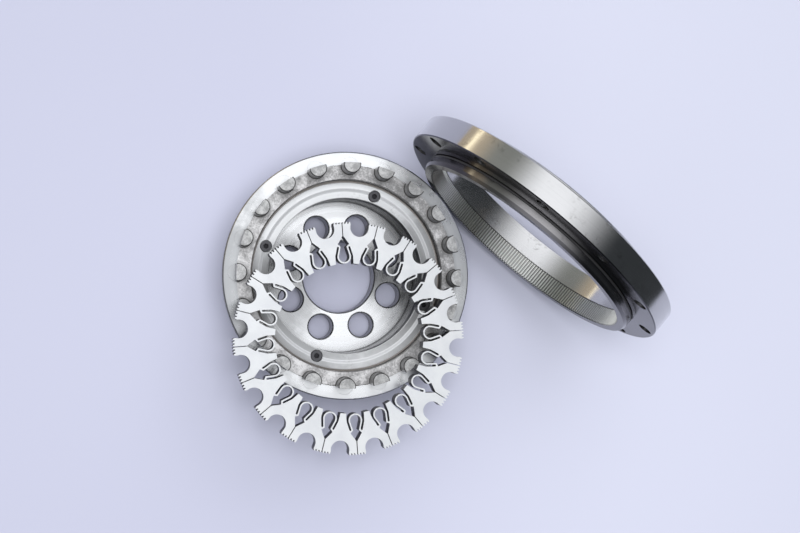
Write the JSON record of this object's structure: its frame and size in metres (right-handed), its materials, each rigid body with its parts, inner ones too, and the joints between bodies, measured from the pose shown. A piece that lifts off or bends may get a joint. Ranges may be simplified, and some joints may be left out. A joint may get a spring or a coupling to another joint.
{
  "type": "strain wave gear",
  "caption": "Open strain wave gear: base hub with crossed roller bearing and drive pins, segmented flexure ring lying on the pins, internal ring gear standing beside it.",
  "frame": {"origin": "hub bore axis, on the surface that the base stands on", "axes": "+Z is the hub axis, upwards; the toothed front of the ring gear looks to -Y; +X is to the right of someone facing the ring gear's front"},
  "size_m": [0.1542, 0.1341, 0.1214],
  "materials": {
    "hub": "fine turned steel, bright satin face",
    "hub_sleeve": "bored and turned steel wall",
    "retainer_ring": "turned steel with rounded lands",
    "retainer_screws": "black oxide cap screws",
    "bearing_inner_ring": "ground bearing steel",
    "bearing_outer_ring_lower": "ground bearing steel",
    "bearing_outer_ring_upper": "ground bearing steel",
    "bearing_rollers": "polished bearing rollers",
    "roller_spacers": "moulded plastic discs",
    "bearing_lock_ring": "turned steel",
    "carrier_seal": "brown seal rubber",
    "pin_carrier": "turned rim and ground pin floor, light stains",
    "drive_pins": "ground steel with mottled tops",
    "ring_gear": "polished steel with turned faces",
    "o_ring": "black rubber",
    "flexure_ring": "fine ground matte face, spark-eroded dark walls"
  },
  "bodies": {
    "hub": {"hub": "hub", "hub_sleeve": "hub_sleeve", "retainer_ring": "retainer_ring", "retainer_screws": "retainer_screws", "bearing_inner_ring": "bearing_inner_ring"},
    "carrier": {"pin_carrier": "pin_carrier", "drive_pins": "drive_pins", "carrier_seal": "carrier_seal", "bearing_outer_ring_lower": "bearing_outer_ring_lower", "bearing_outer_ring_upper": "bearing_outer_ring_upper", "bearing_lock_ring": "bearing_lock_ring"},
    "roller_train": {"bearing_rollers": "bearing_rollers", "roller_spacers": "roller_spacers"},
    "ring_gear": {"ring_gear": "ring_gear", "o_ring": "o_ring"},
    "segment_01": {"flex_segment_01": "flexure_ring"},
    "segment_02": {"flex_segment_02": "flexure_ring"},
    "segment_03": {"flex_segment_03": "flexure_ring"},
    "segment_04": {"flex_segment_04": "flexure_ring"},
    "segment_05": {"flex_segment_05": "flexure_ring"},
    "segment_06": {"flex_segment_06": "flexure_ring"},
    "segment_07": {"flex_segment_07": "flexure_ring"},
    "segment_08": {"flex_segment_08": "flexure_ring"},
    "segment_09": {"flex_segment_09": "flexure_ring"},
    "segment_10": {"flex_segment_10": "flexure_ring"},
    "segment_11": {"flex_segment_11": "flexure_ring"},
    "segment_12": {"flex_segment_12": "flexure_ring"},
    "segment_13": {"flex_segment_13": "flexure_ring"},
    "segment_14": {"flex_segment_14": "flexure_ring"},
    "segment_15": {"flex_segment_15": "flexure_ring"},
    "segment_16": {"flex_segment_16": "flexure_ring"},
    "segment_17": {"flex_segment_17": "flexure_ring"},
    "segment_18": {"flex_segment_18": "flexure_ring"},
    "segment_19": {"flex_segment_19": "flexure_ring"},
    "segment_20": {"flex_segment_20": "flexure_ring"}
  },
  "joints": [
    {"name": "carrier_turn", "type": "hinge", "parent": "hub", "child": "carrier", "pos_m": [0, 0, 0.019], "axis": [0, 0, 1], "continuous": true},
    {"name": "roller_train_turn", "type": "hinge", "parent": "hub", "child": "roller_train", "pos_m": [0, 0, 0.019], "axis": [0, 0, 1], "continuous": true},
    {"name": "flexure_ring_lift", "type": "slide", "parent": "hub", "child": "segment_01", "axis": [0, 0, 1], "range_m": [0, 0.1]},
    {"name": "ring_gear_lift", "type": "slide", "parent": "hub", "child": "ring_gear", "axis": [0, 0, 1], "range_m": [0, 0.15]},
    {"name": "flexure_01_20", "type": "hinge", "parent": "segment_01", "child": "segment_20", "pos_m": [0.04718, -0.01498, 0.0462], "axis": [0, 0, 1], "range_deg": [-0.62, 0.62], "stiffness_Nm_per_rad": 0.9},
    {"name": "flexure_20_19", "type": "hinge", "parent": "segment_20", "child": "segment_19", "pos_m": [0.0471, -0.02503, 0.0462], "axis": [0, 0, 1], "range_deg": [-0.5, 0.5], "stiffness_Nm_per_rad": 0.9},
    {"name": "flexure_19_18", "type": "hinge", "parent": "segment_19", "child": "segment_18", "pos_m": [0.04392, -0.03458, 0.0462], "axis": [0, 0, 1], "range_deg": [-0.193, 0.193], "stiffness_Nm_per_rad": 0.9},
    {"name": "flexure_18_17", "type": "hinge", "parent": "segment_18", "child": "segment_17", "pos_m": [0.03794, -0.04267, 0.0462], "axis": [0, 0, 1], "range_deg": [-0.193, 0.193], "stiffness_Nm_per_rad": 0.9},
    {"name": "flexure_17_16", "type": "hinge", "parent": "segment_17", "child": "segment_16", "pos_m": [0.02976, -0.04851, 0.0462], "axis": [0, 0, 1], "range_deg": [-0.5, 0.5], "stiffness_Nm_per_rad": 0.9},
    {"name": "flexure_16_15", "type": "hinge", "parent": "segment_16", "child": "segment_15", "pos_m": [0.02016, -0.05154, 0.0462], "axis": [0, 0, 1], "range_deg": [-0.62, 0.62], "stiffness_Nm_per_rad": 0.9},
    {"name": "flexure_15_14", "type": "hinge", "parent": "segment_15", "child": "segment_14", "pos_m": [0.01011, -0.05146, 0.0462], "axis": [0, 0, 1], "range_deg": [-0.5, 0.5], "stiffness_Nm_per_rad": 0.9},
    {"name": "flexure_14_13", "type": "hinge", "parent": "segment_14", "child": "segment_13", "pos_m": [0.00056, -0.04828, 0.0462], "axis": [0, 0, 1], "range_deg": [-0.193, 0.193], "stiffness_Nm_per_rad": 0.9},
    {"name": "flexure_13_12", "type": "hinge", "parent": "segment_13", "child": "segment_12", "pos_m": [-0.00753, -0.0423, 0.0462], "axis": [0, 0, 1], "range_deg": [-0.193, 0.193], "stiffness_Nm_per_rad": 0.9},
    {"name": "flexure_01_02", "type": "hinge", "parent": "segment_01", "child": "segment_02", "pos_m": [0.04415, -0.00538, 0.0462], "axis": [0, 0, 1], "range_deg": [-0.5, 0.5], "stiffness_Nm_per_rad": 0.9},
    {"name": "flexure_02_03", "type": "hinge", "parent": "segment_02", "child": "segment_03", "pos_m": [0.03831, 0.0028, 0.0462], "axis": [0, 0, 1], "range_deg": [-0.193, 0.193], "stiffness_Nm_per_rad": 0.9},
    {"name": "flexure_03_04", "type": "hinge", "parent": "segment_03", "child": "segment_04", "pos_m": [0.03022, 0.00878, 0.0462], "axis": [0, 0, 1], "range_deg": [-0.193, 0.193], "stiffness_Nm_per_rad": 0.9},
    {"name": "flexure_04_05", "type": "hinge", "parent": "segment_04", "child": "segment_05", "pos_m": [0.02067, 0.01196, 0.0462], "axis": [0, 0, 1], "range_deg": [-0.5, 0.5], "stiffness_Nm_per_rad": 0.9},
    {"name": "flexure_05_06", "type": "hinge", "parent": "segment_05", "child": "segment_06", "pos_m": [0.01062, 0.01204, 0.0462], "axis": [0, 0, 1], "range_deg": [-0.62, 0.62], "stiffness_Nm_per_rad": 0.9},
    {"name": "flexure_06_07", "type": "hinge", "parent": "segment_06", "child": "segment_07", "pos_m": [0.00102, 0.00901, 0.0462], "axis": [0, 0, 1], "range_deg": [-0.5, 0.5], "stiffness_Nm_per_rad": 0.9},
    {"name": "flexure_07_08", "type": "hinge", "parent": "segment_07", "child": "segment_08", "pos_m": [-0.00716, 0.00317, 0.0462], "axis": [0, 0, 1], "range_deg": [-0.193, 0.193], "stiffness_Nm_per_rad": 0.9},
    {"name": "flexure_08_09", "type": "hinge", "parent": "segment_08", "child": "segment_09", "pos_m": [-0.01314, -0.00492, 0.0462], "axis": [0, 0, 1], "range_deg": [-0.193, 0.193], "stiffness_Nm_per_rad": 0.9},
    {"name": "flexure_09_10", "type": "hinge", "parent": "segment_09", "child": "segment_10", "pos_m": [-0.01632, -0.01447, 0.0462], "axis": [0, 0, 1], "range_deg": [-0.5, 0.5], "stiffness_Nm_per_rad": 0.9},
    {"name": "flexure_10_11", "type": "hinge", "parent": "segment_10", "child": "segment_11", "pos_m": [-0.0164, -0.02452, 0.0462], "axis": [0, 0, 1], "range_deg": [-0.62, 0.62], "stiffness_Nm_per_rad": 0.9}
  ],
  "couplings": [
    {"joint": "roller_train_turn", "follows": "carrier_turn", "ratio": 0.5176},
    {"joint": "flexure_20_19", "follows": "flexure_01_20", "ratio": 0.80902},
    {"joint": "flexure_19_18", "follows": "flexure_01_20", "ratio": 0.30902},
    {"joint": "flexure_18_17", "follows": "flexure_01_20", "ratio": -0.30902},
    {"joint": "flexure_17_16", "follows": "flexure_01_20", "ratio": -0.80902},
    {"joint": "flexure_16_15", "follows": "flexure_01_20", "ratio": -1},
    {"joint": "flexure_15_14", "follows": "flexure_01_20", "ratio": -0.80902},
    {"joint": "flexure_14_13", "follows": "flexure_01_20", "ratio": -0.30902},
    {"joint": "flexure_13_12", "follows": "flexure_01_20", "ratio": 0.30902},
    {"joint": "flexure_01_02", "follows": "flexure_01_20", "ratio": -0.80902},
    {"joint": "flexure_02_03", "follows": "flexure_01_20", "ratio": -0.30902},
    {"joint": "flexure_03_04", "follows": "flexure_01_20", "ratio": 0.30902},
    {"joint": "flexure_04_05", "follows": "flexure_01_20", "ratio": 0.80902},
    {"joint": "flexure_05_06", "follows": "flexure_01_20", "ratio": 1},
    {"joint": "flexure_06_07", "follows": "flexure_01_20", "ratio": 0.80902},
    {"joint": "flexure_07_08", "follows": "flexure_01_20", "ratio": 0.30902},
    {"joint": "flexure_08_09", "follows": "flexure_01_20", "ratio": -0.30902},
    {"joint": "flexure_09_10", "follows": "flexure_01_20", "ratio": -0.80902},
    {"joint": "flexure_10_11", "follows": "flexure_01_20", "ratio": -1}
  ]
}
